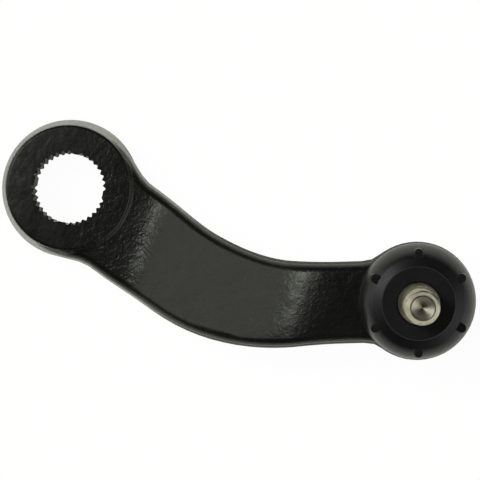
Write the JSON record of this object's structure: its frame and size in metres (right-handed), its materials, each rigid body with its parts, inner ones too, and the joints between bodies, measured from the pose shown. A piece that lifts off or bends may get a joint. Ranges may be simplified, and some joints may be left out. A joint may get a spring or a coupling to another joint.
{
  "type": "steering pitman arm with ball joint",
  "caption": "Forged steering arm with a serrated eye at one end and a sealed ball joint with an upright taper stud at the other.",
  "frame": {"origin": "centre of the serrated bore, on the face that the steering gear sits against", "axes": "+Z along the bore, from the gear side to the nut side; +X from the bore to the ball joint"},
  "size_m": [0.2096, 0.0725, 0.1101],
  "materials": {
    "black_paint": "semi-gloss black over a blasted forging",
    "bare_steel": "turned, bare",
    "seat_steel": "sintered, dull",
    "spring_steel": "drawn wire",
    "plated_steel": "zinc plated",
    "boot_rubber": "smooth moulded rubber",
    "washer_rubber": "dull flat rubber"
  },
  "bodies": {
    "arm": {"arm_forging": "black_paint", "upper_seat": "seat_steel", "preload_spring": "spring_steel", "cover_plate": "black_paint", "grease_fitting": "plated_steel", "grease_check_spring": "spring_steel"},
    "boot": {"dust_boot": "boot_rubber"},
    "washer": {"boot_washer": "washer_rubber"},
    "stud": {"ball_stud": "bare_steel"},
    "lower_seat": {"lower_seat": "seat_steel"},
    "check_ball": {"grease_check_ball": "bare_steel"}
  },
  "joints": [
    {"name": "stud_rock", "type": "hinge", "parent": "arm", "child": "boot", "pos_m": [0.155, 0, 0.0455], "axis": [0, 1, 0], "range_deg": [-16, 16], "deforming": ["dust_boot"]},
    {"name": "stud_tilt", "type": "hinge", "parent": "boot", "child": "washer", "pos_m": [0.155, 0, 0.0455], "axis": [1, 0, 0], "range_deg": [-17.8, 14.2], "deforming": ["dust_boot"]},
    {"name": "stud_spin", "type": "hinge", "parent": "washer", "child": "stud", "pos_m": [0.155, 0, 0.0455], "axis": [0, -0.0314, 0.9995], "continuous": true},
    {"name": "seat_take_up", "type": "slide", "parent": "arm", "child": "lower_seat", "axis": [0, 0, 1], "range_m": [-0.0008, 0], "stiffness_N_per_m": 20000, "springref_m": 0.004, "deforming": ["preload_spring"]},
    {"name": "check_ball_lift", "type": "slide", "parent": "arm", "child": "check_ball", "axis": [0, 0, 1], "range_m": [0, 0.001], "stiffness_N_per_m": 50, "springref_m": -0.003, "deforming": ["grease_check_spring"]}
  ]
}
